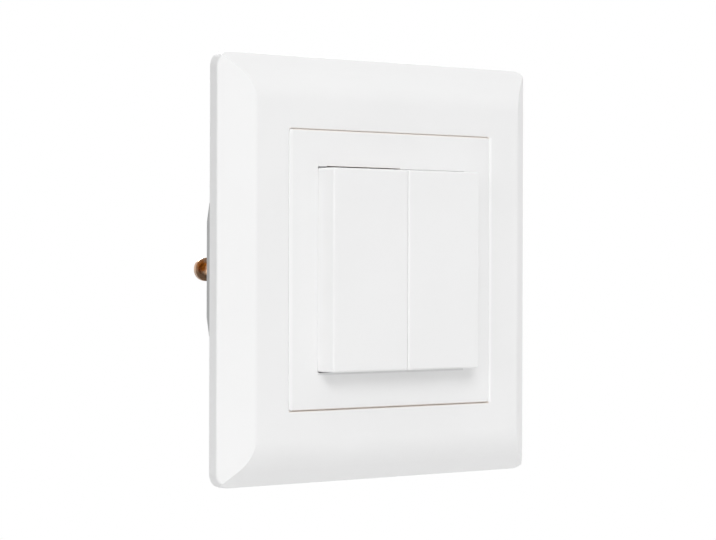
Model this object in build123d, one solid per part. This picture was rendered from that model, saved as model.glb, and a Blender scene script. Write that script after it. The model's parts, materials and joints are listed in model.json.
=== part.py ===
from build123d import *
import math
import os

# Flush wall switch with two spring-return keys, in millimetres.
# X runs to the right, Y up and Z out of the wall, whose surface is Z = 0.
# Every piece is turned when it is written, so that +Z is up and the front faces -Y.

# Cover frame: a hollow cushion with bevelled sides and rounded top and bottom
FRAME_SIZE = 82.0
FRAME_FRONT = 6.4
FRAME_WALL = 1.8
FRAME_CORNER_RADIUS = 2.8
RIM_HEIGHT = 2.15
RIM_EDGE_RADIUS = 0.5
SIDE_BEVEL_RUN = 5.9
SIDE_CREASE_RADIUS = 1.6
END_BEVEL_RUN = 5.6
END_CREASE_RADIUS = 9.2
OPENING_SIZE = 53.65
OPENING_CORNER_RADIUS = 0.8
OPENING_WALL = 1.2
LEDGE_WIDTH = 1.5
LEDGE_THICKNESS = 1.7

# Bezel, flush with the frame, resting on the ledge of its opening
SEAM_SIDE_GAP = 0.03
SEAM_END_GAP = 0.06
SEAM_EDGE_RADIUS = 0.3
BEZEL_THICKNESS = 1.5
COLLAR_WALL = 1.4
CLIP_X = 12.0
CLIP_LEDGE_GAP = 0.55
CLIP_WIDTH = 4.0
CLIP_THICKNESS = 1.2
CLIP_BARB = 0.7
CLIP_BARB_LENGTH = 1.3
CLIP_PLAY = 0.15
CLIP_FLEX_ROOM = 0.8

# Keys: two open-backed caps side by side, hung on one pin near their top edge
KEY_GROUP_SIZE = 39.0
KEY_PROUD = 4.55
KEY_GAP = 0.1
KEY_SIDE_GAP = 0.1
KEY_TOP_GAP = 0.4
KEY_BOTTOM_GAP = 0.2
KEY_WINDOW_CORNER_RADIUS = 0.5
KEY_SKIN = 1.6
KEY_WALL = 1.4
KEY_SKIRT_BELOW_BEZEL = 2.2
KEY_EDGE_RADIUS = 0.45
KEY_RIB_WIDTH = 1.0
KEY_RIB_DEPTH = 2.4
KEY_BOSS_RADIUS = 2.5

# Hinge of the keys
PIVOT_BELOW_EDGE = 4.1
PIVOT_Z = 7.0
PIN_RADIUS = 1.0
PIN_END_GAP = 0.2
LUG_RADIUS = 2.3
LUG_WIDTH = 2.0
POST_RADIUS = 2.0
POST_WIDTH = 5.0
RUNNING_CLEARANCE = 0.05
FIXED_CLEARANCE = 0.02

# Support plate, a stamped square of sheet steel against the wall
PLATE_FRAME_GAP = 2.2
PLATE_THICKNESS = 1.0
PLATE_CORNER_RADIUS = 8.0
PLATE_WINDOW_INSET = 2.5
PLATE_WINDOW_MARGIN = 0.5
PLATE_WINDOW_RADIUS = 3.0
BOX_SCREW_CIRCLE = 60.0
BOX_SCREW_HOLE_RADIUS = 1.9
BOX_SCREW_COUNT = 4

# Contact housing and the cover that closes it
HOUSING_SIZE = 40.0
HOUSING_DEPTH = 22.0
HOUSING_WALL = 3.0
HOUSING_FLOOR = 2.0
HOUSING_CORNER_RADIUS = 6.0
HOUSING_EDGE_CHAMFER = 0.8
CHEEK_PROUD = 7.2
CHEEK_WALL = 1.4
CHEEK_TAPER = 0.65
CHEEK_FACE_HEIGHT = 18.6
CHEEK_SHOULDER_HEIGHT = 26.2
CHEEK_ROOT_HEIGHT = 29.0
CHEEK_LENGTH = 9.5
CHEEK_BACK_INSET = 4.3
LUG_EAR_WIDTH = 6.4
LUG_EAR_THICKNESS = 3.0
COVER_FLANGE_WIDTH = 1.5
COVER_FLANGE_THICKNESS = 1.5
COVER_PLAY = 0.1
GUIDE_COLLAR_RADIUS = 3.4
GUIDE_COLLAR_HEIGHT = 1.8
HOUSING_SCREW_COLLAR_GAP = 0.5
HOUSING_SCREW_RADIUS = 1.25
HOUSING_SCREW_LENGTH = 7.0
HOUSING_SCREW_HEAD_RADIUS = 2.1
HOUSING_SCREW_HEAD_HEIGHT = 1.2

# Plungers and contacts
PLUNGER_SIDE_ROOM = 7.05
PLUNGER_Y = -12.0
PLUNGER_RADIUS = 2.0
PLUNGER_TOP = 6.0
PLUNGER_DOME = 0.6
PLUNGER_KEY_GAP = 0.2
PLUNGER_FLANGE_RADIUS = 3.6
PLUNGER_FLANGE_THICKNESS = 1.6
PLUNGER_STOP_GAP = 0.1
PLUNGER_NECK_RADIUS = 2.2
PLUNGER_NECK_LENGTH = 3.6
PLUNGER_TIP_RADIUS = 1.2
PLUNGER_TIP_LENGTH = 2.8
KEY_SWING_DEG = 4.5
BRIDGE_LENGTH = 9.8
BRIDGE_WIDTH = 3.0
BRIDGE_THICKNESS = 0.6
CONTACT_OFFSET = 3.8
CONTACT_RADIUS = 1.0
CONTACT_HEIGHT = 0.5
CONTACT_CLOSED_GAP = 0.14
SPRING_RADIUS = 1.75
SPRING_WIRE_RADIUS = 0.25
SPRING_TURNS = 4.5
SPRING_WIRE_SIDES = 6
SPRING_SEAT_GAP = 0.05
SPIGOT_RADIUS = 1.0
SPIGOT_HEIGHT = 2.5

# Push-in terminals
STRIP_WIDTH = 3.0
STRIP_THICKNESS = 0.8
TERMINAL_SPACING = 2.8
TERMINAL_SIDE_GAP = 0.4
TERMINAL_WALL_Y = 8.2
DIVIDER_WIDTH = 1.0
DIVIDER_HEIGHT = 10.0
DIVIDER_START = 0.4
WIRE_HOLE_RADIUS = 1.5
WIRE_HOLE_FUNNEL = 0.6
WIRE_HOLE_SPACING = 5.0
WIRE_Y = 10.8
RELEASE_SLOT_WIDTH = 3.2
RELEASE_SLOT_HEIGHT = 1.2
RELEASE_SLOT_Y = 14.6
CLAMP_LEAF = 0.4
CLAMP_LEG_Y = 13.4
CLAMP_HEIGHT = 9.0
CLAMP_BEND_RADIUS = 0.9
CLAMP_TIP_HEIGHT = 4.5
CLAMP_TIP_GAP = 0.15

# Spreading claws, one on each side, drawn outwards by a screw
CLAW_PIVOT_OUT = 0.6
CLAW_PIVOT_DEPTH = 4.5
CLAW_WIDTH = 4.6
CLAW_SHEET = 1.2
CLAW_LEVER_OFFSET = 1.4
CLAW_BEND_RADIUS = 1.2
CLAW_HEEL_DEPTH = 19.4
CLAW_TIP_OFFSET = 6.6
CLAW_TIP_DEPTH = 21.4
CLAW_TIP_ROUND = 2.2
CLAW_DISH_FROM_TIP = 1.7
CLAW_DISH_RADIUS = 1.2
CLAW_DISH_DEPTH = 0.45
CLAW_EAR_RADIUS = 1.9
CLAW_EAR_SHEET = 1.0
CLAW_FOOT_REACH = 2.6
CLAW_SCREW_COLLAR_GAP = 1.6
CLAW_SCREW_LEVER_GAP = 0.3
CLAW_SCREW_RADIUS = 1.45
CLAW_SCREW_HEAD_RADIUS = 2.6
CLAW_SCREW_HEAD_HEIGHT = 1.6
CLAW_SCREW_TIP_DEPTH = 7.5
CLAW_FOOT_HOLE_CLEARANCE = 0.45
SCREW_HOLE_CLEARANCE = 0.15
CLAW_PIN_RADIUS = 0.9
CLAW_PIN_OVERHANG = 0.4
CLAW_SIDE_GAP = 0.15
CLAW_ROOM_GAP = 0.4
TAB_SHEET = 1.0
TAB_RADIUS = 1.8
DRIVE_SLOT_WIDTH = 0.8
DRIVE_SLOT_DEPTH = 0.8

# Places worked out from the sizes above
LEDGE_TOP = FRAME_FRONT - BEZEL_THICKNESS
BEZEL_WIDTH = OPENING_SIZE - 2 * SEAM_SIDE_GAP
BEZEL_HEIGHT = OPENING_SIZE - 2 * SEAM_END_GAP
KEY_FRONT = FRAME_FRONT + KEY_PROUD
KEY_BACK = FRAME_FRONT - KEY_SKIRT_BELOW_BEZEL
KEY_HALF = KEY_GROUP_SIZE / 2
KEY_INSIDE = KEY_FRONT - KEY_SKIN
KEY_MID_X = (KEY_GAP / 2 + KEY_HALF) / 2
WINDOW_WIDTH = KEY_GROUP_SIZE + 2 * KEY_SIDE_GAP
WINDOW_HEIGHT = KEY_GROUP_SIZE + KEY_TOP_GAP + KEY_BOTTOM_GAP
WINDOW_Y = (KEY_TOP_GAP - KEY_BOTTOM_GAP) / 2
COLLAR_WIDTH = WINDOW_WIDTH + 2 * COLLAR_WALL
COLLAR_HEIGHT = WINDOW_HEIGHT + 2 * (COLLAR_WALL + WINDOW_Y)
LEDGE_OPENING = OPENING_SIZE - 2 * LEDGE_WIDTH
CLIP_Y = LEDGE_OPENING / 2 - CLIP_LEDGE_GAP - CLIP_BARB - CLIP_THICKNESS
PIVOT_Y = KEY_HALF - PIVOT_BELOW_EDGE
PLATE_SIZE = FRAME_SIZE - 2 * (FRAME_WALL + PLATE_FRAME_GAP)
PLATE_WINDOW_WIDTH = HOUSING_SIZE - 2 * PLATE_WINDOW_INSET
PLATE_WINDOW_HEIGHT = 2 * (PIVOT_Y + POST_RADIUS + PLATE_WINDOW_MARGIN)
HOUSING_SCREW_Y = COLLAR_HEIGHT / 2 + HOUSING_SCREW_HEAD_RADIUS + HOUSING_SCREW_COLLAR_GAP
CHEEK_OUT = HOUSING_SIZE / 2 + CHEEK_PROUD
CHEEK_BACK = CHEEK_BACK_INSET - HOUSING_DEPTH
CAVITY_SIZE = HOUSING_SIZE - 2 * HOUSING_WALL
FLOOR_Z = HOUSING_FLOOR - HOUSING_DEPTH
FLANGE_SIZE = CAVITY_SIZE + 2 * COVER_FLANGE_WIDTH
FLANGE_BACK = -COVER_FLANGE_THICKNESS
PLUNGER_FLANGE_TOP = FLANGE_BACK - PLUNGER_STOP_GAP
PLUNGER_FLANGE_BACK = PLUNGER_FLANGE_TOP - PLUNGER_FLANGE_THICKNESS
BRIDGE_TOP = PLUNGER_FLANGE_BACK - PLUNGER_NECK_LENGTH
BRIDGE_BACK = BRIDGE_TOP - BRIDGE_THICKNESS
PLUNGER_X = CAVITY_SIZE / 2 - PLUNGER_SIDE_ROOM
PLUNGER_TRAVEL = (PIVOT_Y - PLUNGER_Y) * math.radians(KEY_SWING_DEG)
FIXED_CONTACT_TOP = BRIDGE_BACK - CONTACT_HEIGHT - PLUNGER_TRAVEL - CONTACT_CLOSED_GAP
STRIP_TOP = FIXED_CONTACT_TOP - CONTACT_HEIGHT
STRIP_BACK = STRIP_TOP - STRIP_THICKNESS
TERMINAL_WIDTH = (CAVITY_SIZE - 2 * TERMINAL_SIDE_GAP - 2 * TERMINAL_SPACING) / 3
TERMINAL_X = TERMINAL_WIDTH + TERMINAL_SPACING
DIVIDER_X = TERMINAL_X / 2
CLAW_PIVOT_X = HOUSING_SIZE / 2 + CLAW_PIVOT_OUT
CLAW_LEVER_X = CLAW_PIVOT_X + CLAW_LEVER_OFFSET
CLAW_SCREW_X = max(
    COLLAR_WIDTH / 2 + CLAW_SCREW_HEAD_RADIUS + CLAW_SCREW_COLLAR_GAP,
    CLAW_LEVER_X + CLAW_SHEET / 2 + CLAW_SCREW_RADIUS + CLAW_SCREW_LEVER_GAP,
)
CLAW_TIP_X = CLAW_PIVOT_X + CLAW_TIP_OFFSET
CLAW_PIVOT_Z = -CLAW_PIVOT_DEPTH
CLAW_HEEL_Z = -CLAW_HEEL_DEPTH
CLAW_TIP_Z = -CLAW_TIP_DEPTH
TAB_INNER_Y = CLAW_WIDTH / 2 + CLAW_SIDE_GAP
TAB_OUTER_Y = TAB_INNER_Y + TAB_SHEET
BOTH_SIDES = (-1, 1)
UPRIGHT_TOLERANCE = 1e-4


def block(x, y, z):
    """A box given by its low and high ends along X, Y and Z."""
    middle = [(low + high) / 2 for low, high in (x, y, z)]
    size = [high - low for low, high in (x, y, z)]
    return Pos(*middle) * Box(*size)


def around(middle, width):
    """The low and high end of a span about its middle."""
    return middle - width / 2, middle + width / 2


def rod(radius, x, y, z):
    """A cylinder along Z at x, y, between the two ends in z."""
    return Pos(x, y, (z[0] + z[1]) / 2) * Cylinder(radius, z[1] - z[0])


def rod_along_x(radius, x, y, z):
    """A cylinder along X at y, z, between the two ends in x."""
    return Pos((x[0] + x[1]) / 2, y, z) * Rot(Y=90) * Cylinder(radius, x[1] - x[0])


def rod_along_y(radius, x, y, z):
    """A cylinder along Y at x, z, between the two ends in y."""
    return Pos(x, (y[0] + y[1]) / 2, z) * Rot(X=90) * Cylinder(radius, y[1] - y[0])


def slab(outline, z):
    """A flat outline made solid between the two ends in z."""
    return extrude(Pos(0, 0, z[0]) * outline, z[1] - z[0])


def mirrored(shape):
    """The same piece on the other side of the middle plane."""
    return mirror(shape, about=Plane.YZ)


def bevelled_section(half, front, rim, run, crease):
    """Section of the cushion: upright rim, sloping bevel, flat front, and a rounded crease between."""
    points = [(-half, 0), (half, 0), (half, rim), (half - run, front), (run - half, front), (-half, rim)]
    section = make_face(Polyline(*points, close=True))
    return fillet(section.vertices().group_by(Axis.Y)[-1], crease)


def cushion(half, front, corner, side, end):
    """Square cushion, with its side bevels and its end bevels each given as (rim, run, crease)."""
    body = slab(RectangleRounded(2 * half, 2 * half, corner), (0, front))
    body &= extrude(Plane.XZ * bevelled_section(half, front, *side), half, both=True)
    body &= extrude(Plane.YZ * bevelled_section(half, front, *end), half, both=True)
    return body


def inside_bevel(front, rim, run, crease, wall):
    """The bevel of the hollow, one wall inside a bevel of the outer form."""
    slope = (front - rim) / run
    inner_rim = rim + wall * (slope - math.hypot(1, slope))
    inner_run = (front - wall - inner_rim) / slope
    return inner_rim, inner_run, max(crease - wall, crease / 4)


def rim_edges(body):
    """The edges where the upright rim turns into the bevels, round the whole outline."""
    upright = body.faces().filter_by(lambda face: abs(face.normal_at().Z) < UPRIGHT_TOLERANCE)
    edges = [edge for face in upright for edge in face.edges()]
    return ShapeList(edge for edge in edges if edge.bounding_box().min.Z > RIM_HEIGHT / 2)


def cover_frame():
    """The square frame: a hollow cushion with a stepped opening that the bezel rests in."""
    half = FRAME_SIZE / 2
    side = (RIM_HEIGHT, SIDE_BEVEL_RUN, SIDE_CREASE_RADIUS)
    end = (RIM_HEIGHT, END_BEVEL_RUN, END_CREASE_RADIUS)
    body = cushion(half, FRAME_FRONT, FRAME_CORNER_RADIUS, side, end)
    body = fillet(rim_edges(body), RIM_EDGE_RADIUS)
    inner_side = inside_bevel(FRAME_FRONT, *side, FRAME_WALL)
    inner_end = inside_bevel(FRAME_FRONT, *end, FRAME_WALL)
    inner_corner = max(FRAME_CORNER_RADIUS - FRAME_WALL, FRAME_CORNER_RADIUS / 4)
    body -= cushion(half - FRAME_WALL, FRAME_FRONT - FRAME_WALL, inner_corner, inner_side, inner_end)
    ring_size = OPENING_SIZE + 2 * OPENING_WALL
    ring_span = (LEDGE_TOP - LEDGE_THICKNESS, FRAME_FRONT - FRAME_WALL / 2)
    body += slab(RectangleRounded(ring_size, ring_size, OPENING_CORNER_RADIUS + OPENING_WALL), ring_span)
    through = RectangleRounded(LEDGE_OPENING, LEDGE_OPENING, OPENING_CORNER_RADIUS)
    body -= slab(through, (0, FRAME_FRONT))
    opening = RectangleRounded(OPENING_SIZE, OPENING_SIZE, OPENING_CORNER_RADIUS)
    body -= slab(opening, (LEDGE_TOP, FRAME_FRONT))
    front_edges = body.faces().sort_by(Axis.Z)[-1].inner_wires()[0].edges()
    return fillet(front_edges, SEAM_EDGE_RADIUS)


def bezel_clip():
    """A barbed leg that reaches through the support plate and hooks behind it."""
    outer_y = CLIP_Y + CLIP_THICKNESS
    barb_z = -CLIP_PLAY
    tip_z = barb_z - CLIP_BARB_LENGTH
    leg = [(CLIP_Y, LEDGE_TOP), (outer_y, LEDGE_TOP), (outer_y, barb_z)]
    barb = [(outer_y + CLIP_BARB, barb_z), (outer_y, tip_z), (CLIP_Y, tip_z)]
    profile = make_face(Polyline(*leg, *barb, close=True))
    return extrude(Plane.YZ.offset(CLIP_X - CLIP_WIDTH / 2) * profile, CLIP_WIDTH)


def bezel():
    """The flat surround of the keys, with a collar and four clips behind."""
    outline = RectangleRounded(BEZEL_WIDTH, BEZEL_HEIGHT, OPENING_CORNER_RADIUS)
    window = Pos(0, WINDOW_Y) * RectangleRounded(WINDOW_WIDTH, WINDOW_HEIGHT, KEY_WINDOW_CORNER_RADIUS)
    collar = RectangleRounded(COLLAR_WIDTH, COLLAR_HEIGHT, KEY_WINDOW_CORNER_RADIUS + COLLAR_WALL)
    body = slab(outline, (LEDGE_TOP, FRAME_FRONT))
    body += slab(collar, (PLATE_THICKNESS, LEDGE_TOP))
    body -= slab(window, (0, FRAME_FRONT))
    front = body.faces().sort_by(Axis.Z)[-1]
    body = fillet(front.outer_wire().edges(), SEAM_EDGE_RADIUS)
    clip = bezel_clip()
    for about in ((), (Plane.YZ,), (Plane.XZ,), (Plane.YZ, Plane.XZ)):
        leg = clip
        for plane in about:
            leg = mirror(leg, about=plane)
        body += leg
    return body


def hinge_lug(x):
    """A lug of a key, from its bore round the pin up to the key's skin."""
    profile = Pos(PIVOT_Y, PIVOT_Z) * Circle(LUG_RADIUS)
    stem_height = KEY_INSIDE - PIVOT_Z
    profile += Pos(PIVOT_Y, PIVOT_Z + stem_height / 2) * Rectangle(2 * LUG_RADIUS, stem_height)
    return extrude(Plane.YZ.offset(x) * profile, LUG_WIDTH)


def key():
    """The right key: a moulded cap with hinge lugs, a stiffening rib and a boss over its plunger."""
    near, far = KEY_GAP / 2, KEY_HALF
    body = block((near, far), (-KEY_HALF, KEY_HALF), (KEY_BACK, KEY_FRONT))
    upright = body.edges().filter_by(Axis.Z)
    front = body.faces().sort_by(Axis.Z)[-1].edges()
    body = fillet(upright + front, KEY_EDGE_RADIUS)
    inner_x = (near + KEY_WALL, far - KEY_WALL)
    inner_y = (KEY_WALL - KEY_HALF, KEY_HALF - KEY_WALL)
    body -= block(inner_x, inner_y, (KEY_BACK, KEY_INSIDE))
    body += hinge_lug(inner_x[0])
    body += hinge_lug(inner_x[1] - LUG_WIDTH)
    rib_y = (inner_y[0], PIVOT_Y - POST_RADIUS - KEY_RIB_DEPTH)
    body += block(around(KEY_MID_X, KEY_RIB_WIDTH), rib_y, (KEY_INSIDE - KEY_RIB_DEPTH, KEY_INSIDE))
    body += rod(KEY_BOSS_RADIUS, PLUNGER_X, PLUNGER_Y, (PLUNGER_TOP + PLUNGER_KEY_GAP, KEY_INSIDE))
    bore = PIN_RADIUS + RUNNING_CLEARANCE
    return body - rod_along_x(bore, (0, inner_x[1]), PIVOT_Y, PIVOT_Z)


def hinge_pin():
    """The steel pin that both keys hang on."""
    end = KEY_HALF - KEY_WALL - PIN_END_GAP
    return rod_along_x(PIN_RADIUS, (-end, end), PIVOT_Y, PIVOT_Z)


def hinge_post(x):
    """A bearing post of the mechanism cover, carrying the hinge pin."""
    profile = Pos(PIVOT_Y, PIVOT_Z) * Circle(POST_RADIUS)
    profile += Pos(PIVOT_Y, PIVOT_Z / 2) * Rectangle(2 * POST_RADIUS, PIVOT_Z)
    return extrude(Plane.YZ.offset(x - POST_WIDTH / 2) * profile, POST_WIDTH)


def mechanism_cover():
    """The lid of the housing, held under the support plate, with bearing posts and plunger guides."""
    flange = FLANGE_SIZE - 2 * COVER_PLAY
    raised_width = PLATE_WINDOW_WIDTH - 2 * COVER_PLAY
    raised_height = PLATE_WINDOW_HEIGHT - 2 * COVER_PLAY
    flange_radius = HOUSING_CORNER_RADIUS - HOUSING_WALL + COVER_FLANGE_WIDTH
    raised = RectangleRounded(raised_width, raised_height, PLATE_WINDOW_RADIUS)
    body = slab(RectangleRounded(flange, flange, flange_radius), (FLANGE_BACK, 0))
    body += slab(raised, (0, PLATE_THICKNESS))
    collar_top = PLATE_THICKNESS + GUIDE_COLLAR_HEIGHT
    guide = PLUNGER_RADIUS + RUNNING_CLEARANCE
    for side in BOTH_SIDES:
        x = side * PLUNGER_X
        body += hinge_post(side * KEY_MID_X)
        body += rod(GUIDE_COLLAR_RADIUS, x, PLUNGER_Y, (0, collar_top))
        body -= rod(guide, x, PLUNGER_Y, (FLANGE_BACK, collar_top))
    pin_end = KEY_MID_X + POST_WIDTH
    return body - rod_along_x(PIN_RADIUS + FIXED_CLEARANCE, (-pin_end, pin_end), PIVOT_Y, PIVOT_Z)


def pivot_tab(x, y, radius, back):
    """A tab between two ends in y, round about the claw's pivot and straight from there up to back."""
    height = back - CLAW_PIVOT_Z
    profile = Pos(x, CLAW_PIVOT_Z) * Circle(radius)
    profile += Pos(x, CLAW_PIVOT_Z + height / 2) * Rectangle(2 * radius, height)
    return extrude(Plane.XZ.offset(-y[1]) * profile, y[1] - y[0])


def support_plate():
    """The stamped plate: window, box screw holes, clip slots, and folded tabs that hold the claws' pins."""
    outline = RectangleRounded(PLATE_SIZE, PLATE_SIZE, PLATE_CORNER_RADIUS)
    outline -= RectangleRounded(PLATE_WINDOW_WIDTH, PLATE_WINDOW_HEIGHT, PLATE_WINDOW_RADIUS)
    outline -= PolarLocations(BOX_SCREW_CIRCLE / 2, BOX_SCREW_COUNT) * Circle(BOX_SCREW_HOLE_RADIUS)
    slot_low = CLIP_Y - CLIP_FLEX_ROOM
    slot_high = CLIP_Y + CLIP_THICKNESS + CLIP_PLAY
    slot = Rectangle(CLIP_WIDTH + 2 * CLIP_PLAY, slot_high - slot_low)
    tab_length = CLAW_PIVOT_DEPTH + TAB_RADIUS
    tab_window = Rectangle(2 * TAB_RADIUS, tab_length)
    claw_hole = Circle(CLAW_SCREW_RADIUS + SCREW_HOLE_CLEARANCE)
    screw_hole = Circle(HOUSING_SCREW_RADIUS + SCREW_HOLE_CLEARANCE)
    for side in BOTH_SIDES:
        outline -= Pos(side * CLAW_SCREW_X, 0) * claw_hole
        outline -= Pos(0, side * HOUSING_SCREW_Y) * screw_hole
        for end in BOTH_SIDES:
            outline -= Pos(side * CLIP_X, end * (slot_low + slot_high) / 2) * slot
            outline -= Pos(side * CLAW_PIVOT_X, end * (TAB_OUTER_Y + tab_length / 2)) * tab_window
    body = slab(outline, (0, PLATE_THICKNESS))
    pin_hole = CLAW_PIN_RADIUS + FIXED_CLEARANCE
    for side in BOTH_SIDES:
        x = side * CLAW_PIVOT_X
        for tab_y in ((TAB_INNER_Y, TAB_OUTER_Y), (-TAB_OUTER_Y, -TAB_INNER_Y)):
            body += pivot_tab(x, tab_y, TAB_RADIUS, PLATE_THICKNESS)
        body -= rod_along_y(pin_hole, x, (-TAB_OUTER_Y, TAB_OUTER_Y), CLAW_PIVOT_Z)
    return body


def cheek():
    """The right cheek: a bow round the claw, flat outside with tapered ends, that the claw swings in."""
    root = HOUSING_SIZE / 2 - CHEEK_WALL
    face, shoulder, low = CHEEK_FACE_HEIGHT / 2, CHEEK_SHOULDER_HEIGHT / 2, CHEEK_ROOT_HEIGHT / 2
    points = [(root, -low), (CHEEK_OUT - CHEEK_TAPER, -shoulder), (CHEEK_OUT, -face)]
    points += [(x, -y) for x, y in reversed(points)]
    outline = make_face(Polyline(*points, close=True))
    bow = outline - offset(outline, -CHEEK_WALL, kind=Kind.INTERSECTION)
    return slab(bow, (CHEEK_BACK, CHEEK_BACK + CHEEK_LENGTH))


def screw_ear(end):
    """A rounded ear of the housing that a screw holds to the support plate."""
    inside = HOUSING_SIZE / 2 - HOUSING_WALL / 2
    length = HOUSING_SCREW_Y - inside
    outline = Pos(0, inside + length / 2) * Rectangle(LUG_EAR_WIDTH, length)
    outline += Pos(0, HOUSING_SCREW_Y) * Circle(LUG_EAR_WIDTH / 2)
    outline -= Pos(0, HOUSING_SCREW_Y) * Circle(HOUSING_SCREW_RADIUS + FIXED_CLEARANCE)
    ear = slab(outline, (-LUG_EAR_THICKNESS, 0))
    return ear if end > 0 else mirror(ear, about=Plane.XZ)


def terminal_places():
    """The middle X of the three terminals."""
    return -TERMINAL_X, 0, TERMINAL_X


def contact_places():
    """X of the four fixed contacts."""
    return [side * (PLUNGER_X + way * CONTACT_OFFSET) for side in BOTH_SIDES for way in BOTH_SIDES]


def wire_holes():
    """Funnelled wire holes and release slots through the housing's floor, two to a terminal."""
    back = -HOUSING_DEPTH
    funnel = WIRE_HOLE_RADIUS + WIRE_HOLE_FUNNEL
    holes = []
    for middle in terminal_places():
        for side in BOTH_SIDES:
            x = middle + side * WIRE_HOLE_SPACING / 2
            holes.append(rod(WIRE_HOLE_RADIUS, x, WIRE_Y, (back, FLOOR_Z)))
            mouth = Cone(funnel, WIRE_HOLE_RADIUS, WIRE_HOLE_FUNNEL)
            holes.append(Pos(x, WIRE_Y, back + WIRE_HOLE_FUNNEL / 2) * mouth)
        slot_x = around(middle, RELEASE_SLOT_WIDTH)
        holes.append(block(slot_x, around(RELEASE_SLOT_Y, RELEASE_SLOT_HEIGHT), (back, FLOOR_Z)))
    return holes


def claw_room():
    """The room in the housing's right side that the ears of the claw and the tabs lie in."""
    recess_x = CLAW_PIVOT_X - CLAW_EAR_RADIUS - CLAW_ROOM_GAP
    recess_y = TAB_OUTER_Y + CLAW_ROOM_GAP
    recess_z = CLAW_PIVOT_Z - CLAW_EAR_RADIUS - CLAW_ROOM_GAP
    return block((recess_x, CHEEK_OUT), (-recess_y, recess_y), (recess_z, 0))


def housing():
    """The contact housing: an open box with cheeks, screw ears, contact pillars and terminal chambers."""
    outline = RectangleRounded(HOUSING_SIZE, HOUSING_SIZE, HOUSING_CORNER_RADIUS)
    cavity = RectangleRounded(CAVITY_SIZE, CAVITY_SIZE, HOUSING_CORNER_RADIUS - HOUSING_WALL)
    flange_radius = HOUSING_CORNER_RADIUS - HOUSING_WALL + COVER_FLANGE_WIDTH
    body = slab(outline, (-HOUSING_DEPTH, 0))
    body = chamfer(body.faces().sort_by(Axis.Z)[0].edges(), HOUSING_EDGE_CHAMFER)
    right_cheek = cheek()
    body += right_cheek + mirrored(right_cheek)
    body += screw_ear(1) + screw_ear(-1)
    body -= slab(cavity, (FLOOR_Z, 0))
    body -= slab(RectangleRounded(FLANGE_SIZE, FLANGE_SIZE, flange_radius), (FLANGE_BACK, 0))
    room = claw_room()
    body -= room
    body -= mirrored(room)
    for x in contact_places():
        pillar_y = (PLUNGER_Y - STRIP_WIDTH / 2, PLUNGER_Y + STRIP_WIDTH / 2)
        body += block(around(x, STRIP_WIDTH), pillar_y, (FLOOR_Z, STRIP_BACK))
    for side in BOTH_SIDES:
        body += rod(SPIGOT_RADIUS, side * PLUNGER_X, PLUNGER_Y, (FLOOR_Z, FLOOR_Z + SPIGOT_HEIGHT))
        divider_x = around(side * DIVIDER_X, DIVIDER_WIDTH)
        divider_y = (TERMINAL_WALL_Y + DIVIDER_START, CAVITY_SIZE / 2)
        body += block(divider_x, divider_y, (FLOOR_Z, FLOOR_Z + DIVIDER_HEIGHT))
    for hole in wire_holes():
        body -= hole
    return body


def slotted_head(radius, height, x, y):
    """A low round screw head on the support plate, with a driver slot."""
    top = PLATE_THICKNESS + height
    head = rod(radius, x, y, (PLATE_THICKNESS, top))
    head = chamfer(head.faces().sort_by(Axis.Z)[-1].edges(), height / 4)
    slot = block((x - radius, x + radius), around(y, DRIVE_SLOT_WIDTH), (top - DRIVE_SLOT_DEPTH, top))
    return head - slot


def housing_screws():
    """The two screws that hold the housing to the support plate."""
    screws = []
    for end in BOTH_SIDES:
        y = end * HOUSING_SCREW_Y
        tip = PLATE_THICKNESS - HOUSING_SCREW_LENGTH
        shank = rod(HOUSING_SCREW_RADIUS, 0, y, (tip, PLATE_THICKNESS))
        screws.append(shank + slotted_head(HOUSING_SCREW_HEAD_RADIUS, HOUSING_SCREW_HEAD_HEIGHT, 0, y))
    return screws


def plunger():
    """The right plunger: a domed stem, a stop flange, a neck for the bridge and a tip inside the spring."""
    tip_z = BRIDGE_TOP - PLUNGER_TIP_LENGTH
    shoulder = PLUNGER_TOP - PLUNGER_DOME
    steps = [
        (0, tip_z),
        (PLUNGER_TIP_RADIUS, tip_z),
        (PLUNGER_TIP_RADIUS, BRIDGE_TOP),
        (PLUNGER_NECK_RADIUS, BRIDGE_TOP),
        (PLUNGER_NECK_RADIUS, PLUNGER_FLANGE_BACK),
        (PLUNGER_FLANGE_RADIUS, PLUNGER_FLANGE_BACK),
        (PLUNGER_FLANGE_RADIUS, PLUNGER_FLANGE_TOP),
        (PLUNGER_RADIUS, PLUNGER_FLANGE_TOP),
        (PLUNGER_RADIUS, shoulder),
    ]
    outline = Polyline(*steps)
    dome_radius = (PLUNGER_RADIUS**2 + PLUNGER_DOME**2) / (2 * PLUNGER_DOME)
    dome = RadiusArc((PLUNGER_RADIUS, shoulder), (0, PLUNGER_TOP), -dome_radius)
    axis_line = Line((0, PLUNGER_TOP), (0, tip_z))
    profile = make_face(outline + dome + axis_line)
    return Pos(PLUNGER_X, PLUNGER_Y, 0) * revolve(Plane.XZ * profile, Axis.Z)


def contact_bridge():
    """The right contact bridge, a brass strip seated on the plunger's shoulder."""
    bridge_x = around(PLUNGER_X, BRIDGE_LENGTH)
    body = block(bridge_x, around(PLUNGER_Y, BRIDGE_WIDTH), (BRIDGE_BACK, BRIDGE_TOP))
    hole = PLUNGER_TIP_RADIUS + FIXED_CLEARANCE
    return body - rod(hole, PLUNGER_X, PLUNGER_Y, (BRIDGE_BACK, BRIDGE_TOP))


def contact_tips(places, top):
    """Contact rivets below top, at each X."""
    return [rod(CONTACT_RADIUS, x, PLUNGER_Y, (top - CONTACT_HEIGHT, top)) for x in places]


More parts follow.
